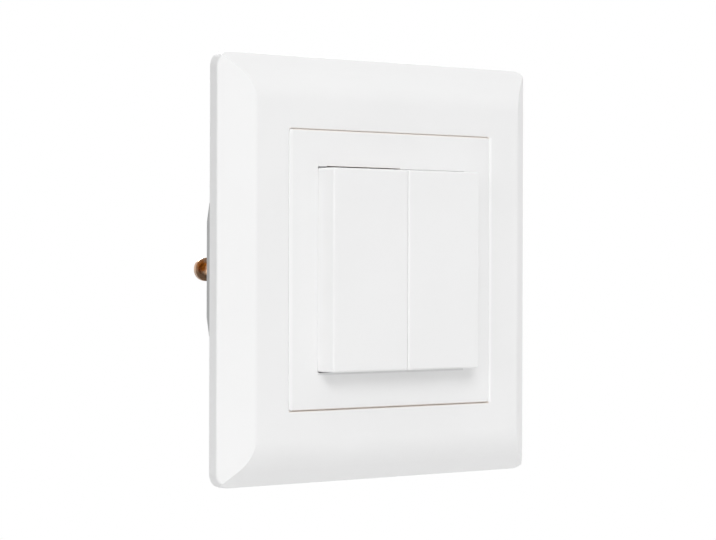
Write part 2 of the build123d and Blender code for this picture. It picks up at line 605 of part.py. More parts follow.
def return_spring():
    """The right return spring, between the housing's floor and the bridge."""
    low = FLOOR_Z + SPRING_SEAT_GAP + SPRING_WIRE_RADIUS
    high = BRIDGE_BACK - SPRING_SEAT_GAP - SPRING_WIRE_RADIUS
    path = Helix((high - low) / SPRING_TURNS, high - low, SPRING_RADIUS)
    wire = RegularPolygon(SPRING_WIRE_RADIUS, SPRING_WIRE_SIDES)
    coil = sweep(Plane(path @ 0, z_dir=path % 0) * wire, path=path, is_frenet=True)
    return Pos(PLUNGER_X, PLUNGER_Y, low) * coil


def terminal_wall(x):
    """The upright wall of a terminal that the clamp presses a wire against."""
    wall_y = (TERMINAL_WALL_Y, TERMINAL_WALL_Y + STRIP_THICKNESS)
    return block(around(x, TERMINAL_WIDTH), wall_y, (FLOOR_Z, STRIP_TOP))


def strip(x):
    """A flat conductor from a fixed contact up to a terminal wall."""
    strip_y = (PLUNGER_Y - STRIP_WIDTH / 2, TERMINAL_WALL_Y)
    return block(around(x, STRIP_WIDTH), strip_y, (STRIP_BACK, STRIP_TOP))


def output_terminal():
    """The right key's own terminal."""
    return strip(PLUNGER_X + CONTACT_OFFSET) + terminal_wall(TERMINAL_X)


def common_terminal():
    """The terminal shared by both keys, with a bus below their inner contacts."""
    reach = PLUNGER_X - CONTACT_OFFSET + STRIP_WIDTH / 2
    bus = block((-reach, reach), around(PLUNGER_Y, STRIP_WIDTH), (STRIP_BACK, STRIP_TOP))
    return bus + strip(0) + terminal_wall(0)


def clamp_springs():
    """Bent leaf springs, one to a terminal, that hold a wire against its wall."""
    top = FLOOR_Z + CLAMP_HEIGHT
    tip_y = TERMINAL_WALL_Y + STRIP_THICKNESS + CLAMP_TIP_GAP + CLAMP_LEAF / 2
    points = [(CLAMP_LEG_Y, FLOOR_Z), (CLAMP_LEG_Y, top), (tip_y, FLOOR_Z + CLAMP_TIP_HEIGHT)]
    leaf = trace(FilletPolyline(*points, radius=CLAMP_BEND_RADIUS), CLAMP_LEAF)
    width = TERMINAL_WIDTH - 2 * CLAMP_LEAF
    return [extrude(Plane.YZ.offset(x - width / 2) * leaf, width) for x in terminal_places()]


def crosses_sheet(edge):
    """Whether an edge of the claw runs straight through its sheet, as at the free ends."""
    return abs(edge.length - CLAW_SHEET) < UPRIGHT_TOLERANCE


def claw():
    """The right claw: a bent strip with a screw foot, a lever, a dished tongue and two pivot ears."""
    foot_x = CLAW_SCREW_X + CLAW_FOOT_REACH
    heel = Vector(CLAW_LEVER_X, 0, CLAW_HEEL_Z)
    tip = Vector(CLAW_TIP_X, 0, CLAW_TIP_Z)
    upper = [(foot_x, CLAW_PIVOT_Z), (CLAW_LEVER_X, CLAW_PIVOT_Z)]
    lower = [(heel.X, heel.Z), (tip.X, tip.Z)]
    sheet = trace(FilletPolyline(*upper, *lower, radius=CLAW_BEND_RADIUS), CLAW_SHEET)
    body = extrude(Plane.XZ * sheet, CLAW_WIDTH / 2, both=True)
    straight = body.edges().filter_by(GeomType.LINE)
    body = fillet(straight.filter_by(crosses_sheet), CLAW_TIP_ROUND)
    foot_hole = CLAW_SCREW_RADIUS + CLAW_FOOT_HOLE_CLEARANCE
    body -= rod(foot_hole, CLAW_SCREW_X, 0, around(CLAW_PIVOT_Z, 2 * CLAW_SHEET))
    along = (tip - heel).normalized()
    outward = along.rotate(Axis.Y, -90)
    dish_ball = (CLAW_DISH_RADIUS**2 + CLAW_DISH_DEPTH**2) / (2 * CLAW_DISH_DEPTH)
    lift = CLAW_SHEET / 2 + dish_ball - CLAW_DISH_DEPTH
    body -= Pos(tip - along * CLAW_DISH_FROM_TIP + outward * lift) * Sphere(dish_ball)
    ear = Pos(CLAW_PIVOT_X, CLAW_PIVOT_Z) * Circle(CLAW_EAR_RADIUS)
    web = CLAW_LEVER_X - CLAW_PIVOT_X
    ear += Pos(CLAW_PIVOT_X + web / 2, CLAW_PIVOT_Z - CLAW_EAR_RADIUS / 2) * Rectangle(web, CLAW_EAR_RADIUS)
    ear -= Pos(CLAW_PIVOT_X, CLAW_PIVOT_Z) * Circle(CLAW_PIN_RADIUS + RUNNING_CLEARANCE)
    for outer_y in (CLAW_WIDTH / 2, CLAW_EAR_SHEET - CLAW_WIDTH / 2):
        body += extrude(Plane.XZ.offset(-outer_y) * ear, CLAW_EAR_SHEET)
    return body


def claw_pins():
    """The pins in the plate's tabs that the claws turn on."""
    reach = TAB_OUTER_Y + CLAW_PIN_OVERHANG
    places = [side * CLAW_PIVOT_X for side in BOTH_SIDES]
    return [rod_along_y(CLAW_PIN_RADIUS, x, (-reach, reach), CLAW_PIVOT_Z) for x in places]


def claw_screw():
    """The right claw screw, whose head sits on the support plate."""
    shank = rod(CLAW_SCREW_RADIUS, CLAW_SCREW_X, 0, (-CLAW_SCREW_TIP_DEPTH, PLATE_THICKNESS))
    shank = chamfer(shank.faces().sort_by(Axis.Z)[0].edges(), CLAW_SCREW_RADIUS / 4)
    return shank + slotted_head(CLAW_SCREW_HEAD_RADIUS, CLAW_SCREW_HEAD_HEIGHT, CLAW_SCREW_X, 0)


def write(name, shape):
    """Turns a piece, or a group of pieces, upright and writes it under its name."""
    group = shape if isinstance(shape, list) else [shape]
    turned = [Rot(X=90) * solid for piece in group for solid in piece.solids()]
    export_step(turned[0] if len(turned) == 1 else Compound(children=turned), f"parts/{name}.step")


def main():
    os.makedirs("parts", exist_ok=True)
    for name, make in (
        ("cover_frame", cover_frame),
        ("bezel", bezel),
        ("hinge_pin", hinge_pin),
        ("mechanism_cover", mechanism_cover),
        ("support_plate", support_plate),
        ("housing", housing),
        ("housing_screws", housing_screws),
        ("common_terminal", common_terminal),
        ("clamp_springs", clamp_springs),
        ("claw_pins", claw_pins),
    ):
        write(name, make())
    write("fixed_contacts", contact_tips(contact_places(), FIXED_CONTACT_TOP))
    moving_places = [PLUNGER_X + way * CONTACT_OFFSET for way in BOTH_SIDES]
    for name, piece in (
        ("button", [key()]),
        ("plunger", [plunger()]),
        ("contact_bridge", [contact_bridge()]),
        ("bridge_contacts", contact_tips(moving_places, BRIDGE_BACK)),
        ("return_spring", [return_spring()]),
        ("terminal", [output_terminal()]),
        ("claw", [claw()]),
        ("claw_screw", [claw_screw()]),
    ):
        write(f"right_{name}", piece)
        write(f"left_{name}", [mirrored(solid) for solid in piece])


main()
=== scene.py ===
"""Looks of a flush wall switch with two keys: finishes, screws, springs, window lips, light and camera."""

import json
import math

import bmesh
import bpy
from mathutils import Matrix, Vector

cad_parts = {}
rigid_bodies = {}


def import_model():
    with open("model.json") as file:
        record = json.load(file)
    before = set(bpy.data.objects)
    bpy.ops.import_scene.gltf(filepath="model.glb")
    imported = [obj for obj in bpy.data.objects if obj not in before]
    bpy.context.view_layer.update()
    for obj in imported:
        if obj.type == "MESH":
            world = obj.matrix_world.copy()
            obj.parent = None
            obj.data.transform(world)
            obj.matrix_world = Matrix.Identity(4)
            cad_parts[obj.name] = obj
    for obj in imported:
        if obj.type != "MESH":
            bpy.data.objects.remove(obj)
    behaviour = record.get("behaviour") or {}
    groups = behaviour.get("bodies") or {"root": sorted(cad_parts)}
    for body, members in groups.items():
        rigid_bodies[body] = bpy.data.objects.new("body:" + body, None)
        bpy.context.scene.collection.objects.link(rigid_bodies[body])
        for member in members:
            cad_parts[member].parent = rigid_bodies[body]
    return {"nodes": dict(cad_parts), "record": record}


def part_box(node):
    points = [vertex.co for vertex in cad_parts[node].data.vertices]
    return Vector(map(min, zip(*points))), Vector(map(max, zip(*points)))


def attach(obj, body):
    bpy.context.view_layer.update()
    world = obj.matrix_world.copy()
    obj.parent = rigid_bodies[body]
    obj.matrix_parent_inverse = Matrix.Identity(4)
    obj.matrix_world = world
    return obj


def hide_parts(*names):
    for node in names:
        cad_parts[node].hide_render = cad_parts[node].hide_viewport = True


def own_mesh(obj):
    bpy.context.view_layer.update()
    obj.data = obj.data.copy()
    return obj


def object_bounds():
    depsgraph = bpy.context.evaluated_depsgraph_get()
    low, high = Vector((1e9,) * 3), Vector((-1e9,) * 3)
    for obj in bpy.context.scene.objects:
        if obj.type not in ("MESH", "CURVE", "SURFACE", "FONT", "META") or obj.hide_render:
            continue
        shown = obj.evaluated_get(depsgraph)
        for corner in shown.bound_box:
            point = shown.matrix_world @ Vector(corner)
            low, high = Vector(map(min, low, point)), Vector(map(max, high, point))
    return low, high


for leftover in list(bpy.data.objects):
    bpy.data.objects.remove(leftover)

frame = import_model()
nodes = frame["nodes"]
cad_low, cad_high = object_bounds()
scene = bpy.context.scene
scene.view_settings.view_transform = "Standard"

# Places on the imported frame
bezel_low, bezel_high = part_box("bezel")
key_low, key_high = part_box("right_button")
claw_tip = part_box("right_claw")[1]
plate_face_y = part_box("support_plate")[0].y

MM = 0.001
FULL_TURN = 2 * math.pi
SIDES = ("left", "right")

# Camera, fitted to the straight edges in the photograph
IMAGE_WIDTH = 716
SENSOR_WIDTH = 36.0
FOCAL_PIXELS = 2714.2
CAMERA_YAW_DEG = 42.46
CAMERA_PITCH_DEG = 0.157
CAMERA_ROLL_DEG = 0.168
CAMERA_DISTANCE = 536.08 * MM
CAMERA_ASIDE = -2.437 * MM
CAMERA_ABOVE = -0.036 * MM
CLIP_RATIO = 10

# Studio, with lengths in metres and the lamps' power in watts
WHITE = (1, 1, 1, 1)
WHITE_STRENGTH = 1.0
WORLD_FRONT = 0.432
WORLD_REAR = 0.2
WORLD_TURN = 0.4
FLOOR_DROP = 100 * MM
FLOOR_RADIUS = 0.3
FLOOR_SEGMENTS = 96
FLOOR_FADE_START = 0.18
FLOOR_FADE_END = 0.28
FLOOR_COLOUR = (0.87, 0.87, 0.87)
FLOOR_SHOWN_COLOUR = (1.0, 1.0, 1.0)
FLOOR_ROUGHNESS = 0.9
FLOOR_SPECULAR = 0.0
LAMPS = {
    "key": {"place": (-1.64, -2.24, 1.64), "size": 1.6, "power": 38.2},
    "left": {"place": (-2.84, -1.04, 0.44), "size": 1.5, "power": 15.1},
    "top": {"place": (0.0, -0.76, 3.0), "size": 2.1, "power": 19.8},
    "right": {"place": (3.0, -0.6, 0.6), "size": 1.8, "power": 10.0},
    "right_front": {"place": (1.7, -2.4, 0.7), "size": 1.6, "power": 1.8},
    "low": {"place": (-0.3, -2.56, -0.9), "size": 1.2, "power": 3.7},
    "low_right": {"place": (1.2, -2.4, -0.8), "size": 1.2, "power": 3.5},
    "rear": {"place": (1.5, 2.4, 1.5), "size": 1.8, "power": 58.0},
}

# Screws and springs that are drawn in full here
CLAW_SHANK_RADIUS = 1.45 * MM
HOUSING_SHANK_RADIUS = 1.25 * MM
THREAD_PITCH = 0.5 * MM
THREAD_DEPTH = 0.24 * MM
THREAD_ROWS = 8
ROUND_STEPS = 40
ROUND_ANGLES = [FULL_TURN * step / ROUND_STEPS for step in range(ROUND_STEPS)]
HEAD_EDGE_SHARE = 0.25
HEAD_EDGE_ROUNDING = 0.3
SLOT_WIDTH = 0.8 * MM
SLOT_DEPTH = 0.8 * MM
SLOT_CUTTER_RATIO = 1.5
WIRE_RADIUS = 0.25 * MM
WIRE_STEPS = 12
COIL_TURNS = 4.5
COIL_STEPS = 40
SHARP_ANGLE = math.radians(40)

# Lips that narrow the bezel's window round the keys, and the stretch of the upper gap that they leave open
SIDE_GAP = 0.1 * MM
SIDE_LIP_GAP = 0.02 * MM
SIDE_LIP_END = 0.5 * MM
TOP_GAP = 0.4 * MM
LEFT_TOP_LIP_GAP = 0.285 * MM
RIGHT_TOP_LIP_GAP = 0.25 * MM
TOP_LIP_END = 0.2 * MM
LEFT_TOP_LIP_REACH = 2.2 * MM
OPEN_GAP_START = LEFT_TOP_LIP_REACH - key_high.x
OPEN_GAP_END = 2.0 * MM
LIP_SET_BACK = 0.02 * MM
LIP_DEPTH = 1.0 * MM
LIP_CHAMFER = 0.03 * MM

# Painted shade: warm dark lines in the seam round the bezel and at the keys' ends, where shade falls in
# the gaps and below the keys
SHADE_LINE_HALF_WIDTH = 0.2 * MM
SHADE_LINE_FADE = 0.08 * MM
UPPER_SEAM_SHADE = (0.87, 0.82, 0.78)
LOWER_SEAM_SHADE = (0.69, 0.625, 0.575)
KEY_TOP_GAP_SHADE = (0.82, 0.76, 0.71)
BELOW_KEYS_SHADOW = (0.72, 0.72, 0.72)
KEY_SHADE_ABOVE = 0.25 * MM
KEY_SHADE_BELOW = 0.4 * MM

# Painted highlights along edges, on the bezel's left and on the frame to the right of the bezel
HIGHLIGHT_HALF_WIDTH = 0.3 * MM
HIGHLIGHT_FADE = 0.15 * MM
BEZEL_EDGE_HIGHLIGHT = (0.905, 0.905, 0.905)
FRAME_EDGE_HIGHLIGHT = (0.942, 0.942, 0.942)
BEZEL_HIGHLIGHT_INSET = 0.55 * MM
FRAME_HIGHLIGHT_OUTSET = 0.36 * MM

# Stain in the dish of each claw, and painted shade below it, in the claw's own coordinates with X taken
# outward
STAIN_INSET_X = 1.7 * MM
STAIN_INSET_Y = 1.6 * MM
STAIN_HEIGHT = 0.6 * MM
STAIN_PLACE = (claw_tip.x - STAIN_INSET_X, claw_tip.y - STAIN_INSET_Y, STAIN_HEIGHT)
STAIN_REACH = 1.5 * MM
STAIN_CORE = 0.7 * MM
STAIN_RAGGED = 0.25 * MM
LOWER_SHADE_START = 0.0
LOWER_SHADE_END = -1.5 * MM
LOWER_SHADE_REACH = 3.5 * MM

# Noise patterns, with the scale in cycles a metre, and the range of their factor that the finishes use
NOISE_LOW = 0.3
NOISE_HIGH = 0.7
PLASTIC_TONE = {"scale": 45.0, "detail": 2.0}
PLASTIC_GLOSS = {"scale": 420.0, "detail": 4.0}
FINE_GRAIN = {"scale": 7000.0, "detail": 5.0, "roughness": 0.62}
COARSE_GRAIN = {"scale": 5000.0, "detail": 5.0, "roughness": 0.62}
METAL_TONE = {"scale": 700.0, "detail": 5.0}
METAL_STREAKS = {"scale": 2200.0, "detail": 6.0, "roughness": 0.6}
STAIN_EDGE = {"scale": 1500.0}

# Finishes, each with its darkest and lightest tone and its least and most roughness
PLASTIC_IOR = 1.5
SCRATCH_STRENGTH = 0.35
CHROMATE_METALLIC = 0.85
PLASTICS = {
    "white_plastic": {
        "tones": ((0.857, 0.857, 0.857), (0.871, 0.871, 0.871)),
        "roughness": (0.36, 0.46),
        "grain": FINE_GRAIN,
        "grain_height": 0.004 * MM,
        "grain_strength": 0.25,
        "paints_light": True,
    },
    "grey_plastic": {
        "tones": ((0.49, 0.495, 0.495), (0.54, 0.545, 0.545)),
        "roughness": (0.45, 0.6),
        "grain": COARSE_GRAIN,
        "grain_height": 0.008 * MM,
        "grain_strength": 0.5,
    },
    "dark_plastic": {
        "tones": ((0.05, 0.05, 0.055), (0.075, 0.075, 0.08)),
        "roughness": (0.4, 0.55),
        "grain": COARSE_GRAIN,
        "grain_height": 0.008 * MM,
        "grain_strength": 0.5,
    },
}
METALS = {
    "zinc_plate": {
        "tones": ((0.63, 0.64, 0.66), (0.71, 0.72, 0.74)),
        "roughness": (0.36, 0.46),
        "stretch": (0.12, 1, 1),
        "scratch": 0.0015 * MM,
    },
    "spring_steel": {
        "tones": ((0.50, 0.50, 0.51), (0.64, 0.64, 0.65)),
        "roughness": (0.18, 0.32),
        "stretch": (1, 1, 0.3),
        "scratch": 0.002 * MM,
    },
    "brass": {
        "tones": ((0.72, 0.50, 0.21), (0.83, 0.62, 0.30)),
        "roughness": (0.2, 0.38),
        "stretch": (1, 1, 0.25),
        "scratch": 0.002 * MM,
    },
    "silver_contact": {
        "tones": ((0.80, 0.79, 0.76), (0.90, 0.89, 0.86)),
        "roughness": (0.15, 0.3),
        "stretch": (1, 1, 1),
        "scratch": 0.002 * MM,
    },
}
CHROMATE = {
    "tones": ((0.50, 0.31, 0.19), (0.66, 0.44, 0.29)),
    "stain": (0.56, 0.17, 0.018),
    "painted_shade": (0.22, 0.13, 0.075),
    "roughness": (0.25, 0.4),
    "scratch": 0.003 * MM,
}


def node_material(name):
    """A new material with a principled shader, its node tree and the shader."""
    material = bpy.data.materials.new(name)
    material.use_nodes = True
    return material, material.node_tree, material.node_tree.nodes["Principled BSDF"]


def add_node(tree, kind, **inputs):
    """Adds a shader node and sets the inputs that are named, with underscores for spaces."""
    node = tree.nodes.new(kind)
    for name, value in inputs.items():
        node.inputs[name.replace("_", " ")].default_value = value
    return node


def coordinates(tree, kind):
    """The X, Y and Z sockets of one kind of texture coordinates."""
    place = tree.nodes.new("ShaderNodeTexCoord")
    parts = tree.nodes.new("ShaderNodeSeparateXYZ")
    tree.links.new(place.outputs[kind], parts.inputs["Vector"])
    return parts.outputs["X"], parts.outputs["Y"], parts.outputs["Z"]


def noise(tree, scale, detail=3.0, roughness=0.5, stretch=(1, 1, 1)):
    """A noise texture in the piece's own coordinates, in metres, as its factor socket."""
    place = tree.nodes.new("ShaderNodeTexCoord")
    mapping = add_node(tree, "ShaderNodeMapping", Scale=stretch)
    tree.links.new(place.outputs["Object"], mapping.inputs["Vector"])
    texture = add_node(tree, "ShaderNodeTexNoise", Scale=scale, Detail=detail, Roughness=roughness)
    tree.links.new(mapping.outputs["Vector"], texture.inputs["Vector"])
    return texture.outputs["Fac"]


def ranged(tree, value, start, end, low=0.0, high=1.0):
    """A value that goes from low at start to high at end, and no further."""
    node = add_node(tree, "ShaderNodeMapRange", From_Min=start, From_Max=end, To_Min=low, To_Max=high)
    tree.links.new(value, node.inputs["Value"])
    return node.outputs["Result"]


def spread(tree, factor, low, high):
    """A noise factor spread between two values."""
    return ranged(tree, factor, NOISE_LOW, NOISE_HIGH, low, high)


def blend_colours(tree, factor, low, high):
    """A colour between two, by a noise factor."""
    ramp = tree.nodes.new("ShaderNodeValToRGB")
    stops = ((NOISE_LOW, low), (NOISE_HIGH, high))
    for element, (position, colour) in zip(ramp.color_ramp.elements, stops):
        element.position = position
        element.color = (*colour, 1)
    tree.links.new(factor, ramp.inputs["Fac"])
    return ramp.outputs["Color"]


def mix_colours(tree, factor, first, second):
    """The first colour at a factor of 0 and the second at 1; each is a socket or a plain colour."""
    node = tree.nodes.new("ShaderNodeMix")
    node.data_type = "RGBA"
    tree.links.new(factor, node.inputs["Factor"])
    sockets = [socket for socket in node.inputs if socket.type == "RGBA"]
    for socket, colour in zip(sockets, (first, second)):
        if isinstance(colour, tuple):
            socket.default_value = (*colour, 1)
        else:
            tree.links.new(colour, socket)
    return next(socket for socket in node.outputs if socket.type == "RGBA")


def mix_shaders(tree, factor, first, second):
    """The first shader at a factor of 0 and the second at 1."""
    mix = tree.nodes.new("ShaderNodeMixShader")
    for socket, value in zip(mix.inputs, (factor, first, second)):
        tree.links.new(value, socket)
    return mix.outputs["Shader"]


def maths(tree, operation, first, second=0.0):
    """The result of one maths operation on sockets or numbers."""
    node = tree.nodes.new("ShaderNodeMath")
    node.operation = operation
    for socket, value in zip(node.inputs, (first, second)):
        if isinstance(value, (int, float)):
            socket.default_value = value
        else:
            tree.links.new(value, socket)
    return node.outputs["Value"]


def bump(tree, height, distance, strength):
    """The normal of a surface that a height factor roughens."""
    node = add_node(tree, "ShaderNodeBump", Distance=distance, Strength=strength)
    tree.links.new(height, node.inputs["Height"])
    return node.outputs["Normal"]


def within(tree, value, middle, half_width, fade):
    """A factor of 1 within a half width of the middle and 0 beyond it, with a soft edge."""
    away = maths(tree, "ABSOLUTE", maths(tree, "SUBTRACT", value, middle))
    return ranged(tree, away, half_width + fade, half_width - fade)


def painted_line(tree, colour, across, place, half_width, along, ends, fade, paint):
    """The colour with a soft line of paint at one place across, between two ends along."""
    start, end = ends
    inside = within(tree, across, place, half_width, fade)
    reached = within(tree, along, (start + end) / 2, (end - start) / 2, fade)
    return mix_colours(tree, maths(tree, "MULTIPLY", inside, reached), colour, paint)


def painted_light_colour(tree, colour):
    """The colour with painted warm shade lines above and below the bezel and at the keys' ends, and
    painted highlights along two edges.
    """
    x, _, z = coordinates(tree, "Object")
    bezel_width = (bezel_low.x, bezel_high.x)
    bezel_height = (bezel_low.z, bezel_high.z)
    # Painted shade: warm dark lines in the seam and the key gap where shade falls, and a grey painted
    # shadow below the keys
    painted_shade_lines = (
        (bezel_high.z, bezel_width, UPPER_SEAM_SHADE),
        (bezel_low.z, bezel_width, LOWER_SEAM_SHADE),
        (key_high.z + KEY_SHADE_ABOVE, (OPEN_GAP_START, OPEN_GAP_END), KEY_TOP_GAP_SHADE),
        (key_low.z - KEY_SHADE_BELOW, (-key_high.x, key_high.x), BELOW_KEYS_SHADOW),
    )
    for height, ends, shade_colour in painted_shade_lines:
        colour = painted_line(tree, colour, z, height, SHADE_LINE_HALF_WIDTH, x, ends, SHADE_LINE_FADE, shade_colour)
    # Painted highlights: lighter lines along the bezel's left edge and the frame's edge right of the bezel
    painted_highlights = (
        (bezel_low.x + BEZEL_HIGHLIGHT_INSET, BEZEL_EDGE_HIGHLIGHT),
        (bezel_high.x + FRAME_HIGHLIGHT_OUTSET, FRAME_EDGE_HIGHLIGHT),
    )
    for place, light in painted_highlights:
        colour = painted_line(tree, colour, x, place, HIGHLIGHT_HALF_WIDTH, z, bezel_height, HIGHLIGHT_FADE, light)
    return colour


def moulded_plastic(name, tones, roughness, grain, grain_height, grain_strength, paints_light=False):
    """Moulded plastic: a faint drift of tone and gloss, and the fine grain of the mould."""
    material, tree, shader = node_material(name)
    colour = blend_colours(tree, noise(tree, **PLASTIC_TONE), *tones)
    # Painted shade lines and painted highlights, on the white plastic only
    if paints_light:
        colour = painted_light_colour(tree, colour)
    tree.links.new(colour, shader.inputs["Base Color"])
    gloss = noise(tree, **PLASTIC_GLOSS)
    tree.links.new(spread(tree, gloss, *roughness), shader.inputs["Roughness"])
    shader.inputs["IOR"].default_value = PLASTIC_IOR
    grained = bump(tree, noise(tree, **grain), grain_height, grain_strength)
    tree.links.new(grained, shader.inputs["Normal"])
    return material


def add_streaks(tree, shader, roughness, scratch, stretch=(1, 1, 1)):
    """Drawn streaks in a metal's gloss, with a shallow scratch relief."""
    streaks = noise(tree, stretch=stretch, **METAL_STREAKS)
    tree.links.new(spread(tree, streaks, *roughness), shader.inputs["Roughness"])
    tree.links.new(bump(tree, streaks, scratch, SCRATCH_STRENGTH), shader.inputs["Normal"])


def plated_metal(name, tones, roughness, stretch, scratch):
    """Sheet or wire with drawn streaks in tone and gloss."""
    material, tree, shader = node_material(name)
    tone = noise(tree, stretch=stretch, **METAL_TONE)
    tree.links.new(blend_colours(tree, tone, *tones), shader.inputs["Base Color"])
    shader.inputs["Metallic"].default_value = 1.0
    add_streaks(tree, shader, roughness, scratch, stretch)
    return material


def stain_distance(tree):
    """How far a point is from the stain on its own side of the switch, and the point's Z."""
    x, y, z = coordinates(tree, "Object")
    mirrored = tree.nodes.new("ShaderNodeCombineXYZ")
    for socket, value in zip(mirrored.inputs, (maths(tree, "ABSOLUTE", x), y, z)):
        tree.links.new(value, socket)
    away = tree.nodes.new("ShaderNodeVectorMath")
    away.operation = "DISTANCE"
    tree.links.new(mirrored.outputs["Vector"], away.inputs[0])
    away.inputs[1].default_value = STAIN_PLACE
    return away.outputs["Value"], z


def chromated_steel(name, tones, stain, painted_shade, roughness, scratch):
    """Coppery passivated strip, stained orange in the dish of each claw, with painted shade along its
    lower edge near the dish.
    """
    material, tree, shader = node_material(name)
    plain = blend_colours(tree, noise(tree, **METAL_TONE), *tones)
    away, z = stain_distance(tree)
    unevenness = spread(tree, noise(tree, **STAIN_EDGE), -STAIN_RAGGED, STAIN_RAGGED)
    ragged = maths(tree, "ADD", away, unevenness)
    stained = mix_colours(tree, ranged(tree, ragged, STAIN_REACH, STAIN_CORE), plain, stain)
    # Painted shade: darker towards the lower edge near the dish
    lower = ranged(tree, z, LOWER_SHADE_START, LOWER_SHADE_END)
    near = ranged(tree, away, LOWER_SHADE_REACH, STAIN_REACH)
    shade = maths(tree, "MULTIPLY", lower, near)
    tree.links.new(mix_colours(tree, shade, stained, painted_shade), shader.inputs["Base Color"])
    shader.inputs["Metallic"].default_value = CHROMATE_METALLIC
    add_streaks(tree, shader, roughness, scratch)
    return material


materials = {name: moulded_plastic(name, **look) for name, look in PLASTICS.items()}
materials.update({name: plated_metal(name, **look) for name, look in METALS.items()})
materials["copper_chromate"] = chromated_steel("copper_chromate", **CHROMATE)
for row in frame["record"]["subparts"]:
    nodes[row["node"]].data.materials.clear()
    nodes[row["node"]].data.materials.append(materials[row["material_slot"]])


def mesh_piece(name, mesh, slot, body, replaced=None):
    """Turns a built mesh into a smooth piece that rides on a body and may stand for a CAD node."""
    bmesh.ops.recalc_face_normals(mesh, faces=mesh.faces)
    data = bpy.data.meshes.new(name)
    mesh.to_mesh(data)
    mesh.free()
    piece = bpy.data.objects.new(name, data)
    scene.collection.objects.link(piece)
    data.shade_smooth()
    data.set_sharp_from_angle(angle=SHARP_ANGLE)
    data.materials.append(materials[slot])
    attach(piece, body)
    if replaced:
        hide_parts(replaced)
    return piece


def skin(mesh, rings):
    """Quads from each ring of points to the next, and a cap at each end."""
    for first, second in zip(rings, rings[1:]):
        count = len(first)
        for step in range(count):
            after = (step + 1) % count
            mesh.faces.new((first[step], first[after], second[after], second[step]))
    mesh.faces.new(rings[0][::-1])
    mesh.faces.new(rings[-1])


def ring(mesh, centre, radii, y):
    """A ring of points about the Y axis through centre, with a radius for each angle."""
    made = []
    for angle, radius in zip(ROUND_ANGLES, radii):
        x = centre.x + radius * math.cos(angle)
        z = centre.z + radius * math.sin(angle)
        made.append(mesh.verts.new((x, y, z)))
    return made


def threaded_radii(radius, y, end_y):
    """The radii round a threaded shank at one place along it; the thread runs out over the last pitch."""
    taper = max(0.0, 1 - (end_y - y) / THREAD_PITCH)
    radii = []
    for angle in ROUND_ANGLES:
        phase = (y / THREAD_PITCH + angle / FULL_TURN) % 1.0
        groove = abs(2 * phase - 1)
        radii.append(radius - THREAD_DEPTH * max(groove, taper))
    return radii


def screw_mesh(centre, shank_radius, head_radius, head_y, seat_y, tip_y):
    """A screw about the Y axis: head from head_y to seat_y, threaded shank down to tip_y."""
    mesh = bmesh.new()
    edge = (seat_y - head_y) * HEAD_EDGE_SHARE
    rounding = edge * HEAD_EDGE_ROUNDING
    outline = (
        (head_radius - edge, head_y),
        (head_radius - rounding, head_y + rounding),
        (head_radius, head_y + edge),
        (head_radius, seat_y),
        (shank_radius - THREAD_DEPTH, seat_y),
    )
    rings = [ring(mesh, centre, [radius] * ROUND_STEPS, y) for radius, y in outline]
    thread_y = seat_y + THREAD_PITCH / THREAD_ROWS
    rows = int(round((tip_y - thread_y) / THREAD_PITCH * THREAD_ROWS))
    for row in range(rows + 1):
        y = thread_y + (tip_y - thread_y) * row / rows
        rings.append(ring(mesh, centre, threaded_radii(shank_radius, y, tip_y), y))
    skin(mesh, rings)
    return mesh


def cut_slot(piece, centre, head_radius, top_y):
    """Cuts the driver slot across a screw's head."""
    box = bmesh.new()
    bmesh.ops.create_cube(box, size=1)
    length = SLOT_CUTTER_RATIO * 2 * head_radius
    bmesh.ops.scale(box, vec=(length, 2 * SLOT_DEPTH, SLOT_WIDTH), verts=box.verts)
    bmesh.ops.translate(box, vec=(centre.x, top_y, centre.z), verts=box.verts)
    data = bpy.data.meshes.new("slot_box")
    box.to_mesh(data)
    box.free()
    cutter = bpy.data.objects.new("slot_box", data)
    scene.collection.objects.link(cutter)
    cut = piece.modifiers.new("slot", "BOOLEAN")
    cut.operation = "DIFFERENCE"
    cut.solver = "EXACT"
    cut.object = cutter
    made = bpy.data.meshes.new_from_object(piece.evaluated_get(bpy.context.evaluated_depsgraph_get()))
    piece.modifiers.clear()
    piece.data = made
    made.set_sharp_from_angle(angle=SHARP_ANGLE)
    bpy.data.objects.remove(cutter)


def make_screw(name, centre, shank_radius, head_radius, head_y, tip_y, body, replaced):
    """A slotted, threaded screw whose head is seated on the support plate."""
    mesh = screw_mesh(centre, shank_radius, head_radius, head_y, plate_face_y, tip_y)
    screw = mesh_piece(name, mesh, "zinc_plate", body, replaced)
    cut_slot(screw, centre, head_radius, head_y)


def make_claw_screws():
    """The screw that swings the claw out, on each side."""
    for side in SIDES:
        low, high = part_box(f"{side}_claw_screw")
        centre = (low + high) / 2
        head_radius = (high.x - low.x) / 2
        make_screw(
            f"{side}_claw_screw_threaded", centre, CLAW_SHANK_RADIUS, head_radius, low.y, high.y,
            f"{side}_clamp_screw", f"{side}_claw_screw",
        )


def make_housing_screws():
    """The pair of screws that hold the housing to the plate."""
    low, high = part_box("housing_screws")
    head_radius = (high.x - low.x) / 2
    for place, z in (("lower", low.z + head_radius), ("upper", high.z - head_radius)):
        centre = Vector((0, 0, z))
        make_screw(
            f"{place}_housing_screw_threaded", centre, HOUSING_SHANK_RADIUS, head_radius, low.y, high.y,
            "base", "housing_screws",
        )


